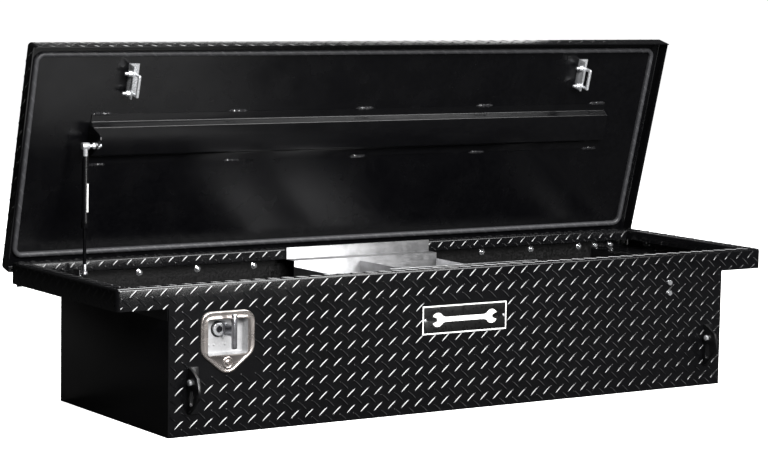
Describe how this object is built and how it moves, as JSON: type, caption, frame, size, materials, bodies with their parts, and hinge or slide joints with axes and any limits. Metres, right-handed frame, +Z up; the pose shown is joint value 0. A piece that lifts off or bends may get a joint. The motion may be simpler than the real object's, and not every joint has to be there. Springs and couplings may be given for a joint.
{
  "type": "truck tool box",
  "caption": "Crossover truck tool box in black tread plate with a gasketed lid on a full-length hinge, gas strut, T-handle rotary latches and sliding tray.",
  "frame": {"origin": "centre of the body's underside", "axes": "+X along the box to the right as seen from the handle side, +Y to the back where the hinge is, +Z up"},
  "size_m": [1.778, 0.6058, 0.8229],
  "materials": {
    "black_plate": "gloss black powder coat on tread plate",
    "black_sheet": "gloss black powder coat",
    "black_fitting": "black powder coat",
    "liner": "textured sprayed lining",
    "hinge_steel": "black powder coat",
    "pin_steel": "bare ground steel",
    "zinc": "bright zinc plate",
    "stainless": "brushed stainless steel",
    "chrome": "bright chrome plate",
    "bright_aluminium": "mill finish",
    "plate_print": "satin black with a white border",
    "seal": "matt sponge rubber",
    "strut_black": "gloss black enamel",
    "rod_steel": "black nitride",
    "label": "white film"
  },
  "bodies": {
    "box": {"front_panel": "black_plate", "back_panel": "black_plate", "left_end_rim": "black_plate", "right_end_rim": "black_plate", "left_ledge": "black_sheet", "right_ledge": "black_sheet", "left_side_panel": "black_sheet", "right_side_panel": "black_sheet", "floor_panel": "black_sheet", "box_liner": "liner", "hinge_box_leaf": "hinge_steel", "hinge_pin": "pin_steel", "hinge_bolts": "zinc", "name_plate": "plate_print", "name_plate_rivets": "bright_aluminium", "tie_down_brackets": "black_fitting", "tie_down_bolts": "black_fitting", "latch_dish": "stainless", "dish_bolt": "zinc", "left_latch_bracket": "zinc", "right_latch_bracket": "zinc", "slave_latch_bolts": "zinc", "left_latch_housing": "zinc", "right_latch_housing": "zinc", "strut_bracket": "zinc"},
    "lid": {"lid_pan": "black_plate", "lid_seal": "seal", "hinge_lid_leaf": "hinge_steel", "lid_hinge_rivets": "black_fitting", "lid_stiffener": "black_sheet", "strut_ear": "black_sheet", "strut_stud": "zinc", "striker_brackets": "zinc", "striker_wires": "zinc", "striker_nuts": "zinc"},
    "handle_hub": {"handle_hub": "stainless", "spindle_lever": "zinc"},
    "t_handle": {"t_handle": "chrome"},
    "lock_cylinder": {"lock_cylinder": "chrome"},
    "connecting_rod": {"connecting_rod": "zinc"},
    "left_fork": {"left_fork": "zinc"},
    "right_fork": {"right_fork": "zinc"},
    "left_pawl": {"left_pawl": "zinc"},
    "right_pawl": {"right_pawl": "zinc"},
    "strut_rod": {"strut_rod": "rod_steel", "strut_rod_end": "zinc"},
    "strut_tube": {"strut_tube": "strut_black", "strut_tube_end": "zinc", "strut_label": "label"},
    "tray": {"tray_pan": "bright_aluminium", "tray_end_walls": "bright_aluminium", "tray_divider": "bright_aluminium"}
  },
  "joints": [
    {"name": "lid_hinge", "type": "hinge", "parent": "box", "child": "lid", "pos_m": [0, 0.264, 0.305], "axis": [1, 0, 0], "range_deg": [0, 75], "stiffness_Nm_per_rad": 4, "springref_deg": -114.59},
    {"name": "strut_swing", "type": "hinge", "parent": "box", "child": "strut_rod", "pos_m": [-0.738, 0.181, 0.3], "axis": [1, 0, 0], "range_deg": [0, 91.7]},
    {"name": "strut_slide", "type": "slide", "parent": "strut_rod", "child": "strut_tube", "axis": [0, -0.0113, 0.9999], "range_m": [-0.0763, 0]},
    {"name": "handle_turn", "type": "hinge", "parent": "box", "child": "handle_hub", "pos_m": [-0.627, -0.259, 0.223], "axis": [0, 1, 0], "range_deg": [0, 90]},
    {"name": "handle_fold", "type": "hinge", "parent": "handle_hub", "child": "t_handle", "pos_m": [-0.6155, -0.247, 0.223], "axis": [0, 0, 1], "range_deg": [0, 56]},
    {"name": "key_turn", "type": "hinge", "parent": "handle_hub", "child": "lock_cylinder", "pos_m": [-0.627, -0.259, 0.223], "axis": [0, 1, 0], "range_deg": [0, 90]},
    {"name": "rod_slide", "type": "slide", "parent": "box", "child": "connecting_rod", "axis": [1, 0, 0], "range_m": [-0.0172, 0]},
    {"name": "left_pawl_turn", "type": "hinge", "parent": "box", "child": "left_pawl", "pos_m": [-0.665, -0.175, 0.25], "axis": [0, 1, 0], "range_deg": [0, 26.1]},
    {"name": "right_pawl_turn", "type": "hinge", "parent": "box", "child": "right_pawl", "pos_m": [0.605, -0.175, 0.25], "axis": [0, 1, 0], "range_deg": [0, 26.1]},
    {"name": "left_fork_turn", "type": "hinge", "parent": "box", "child": "left_fork", "pos_m": [-0.647, -0.175, 0.291], "axis": [0, 1, 0], "range_deg": [0, 50]},
    {"name": "right_fork_turn", "type": "hinge", "parent": "box", "child": "right_fork", "pos_m": [0.623, -0.175, 0.291], "axis": [0, 1, 0], "range_deg": [0, 50]},
    {"name": "tray_slide", "type": "slide", "parent": "box", "child": "tray", "axis": [1, 0, 0], "range_m": [-0.42, 0.35]}
  ],
  "couplings": [
    {"joint": "strut_swing", "follows": "lid_hinge", "ratio": 1.2093},
    {"joint": "strut_slide", "follows": "lid_hinge", "m_per_rad": -0.057514},
    {"joint": "rod_slide", "follows": "handle_turn", "m_per_rad": -0.01088},
    {"joint": "left_pawl_turn", "follows": "handle_turn", "ratio": 0.28889},
    {"joint": "right_pawl_turn", "follows": "handle_turn", "ratio": 0.28889}
  ]
}
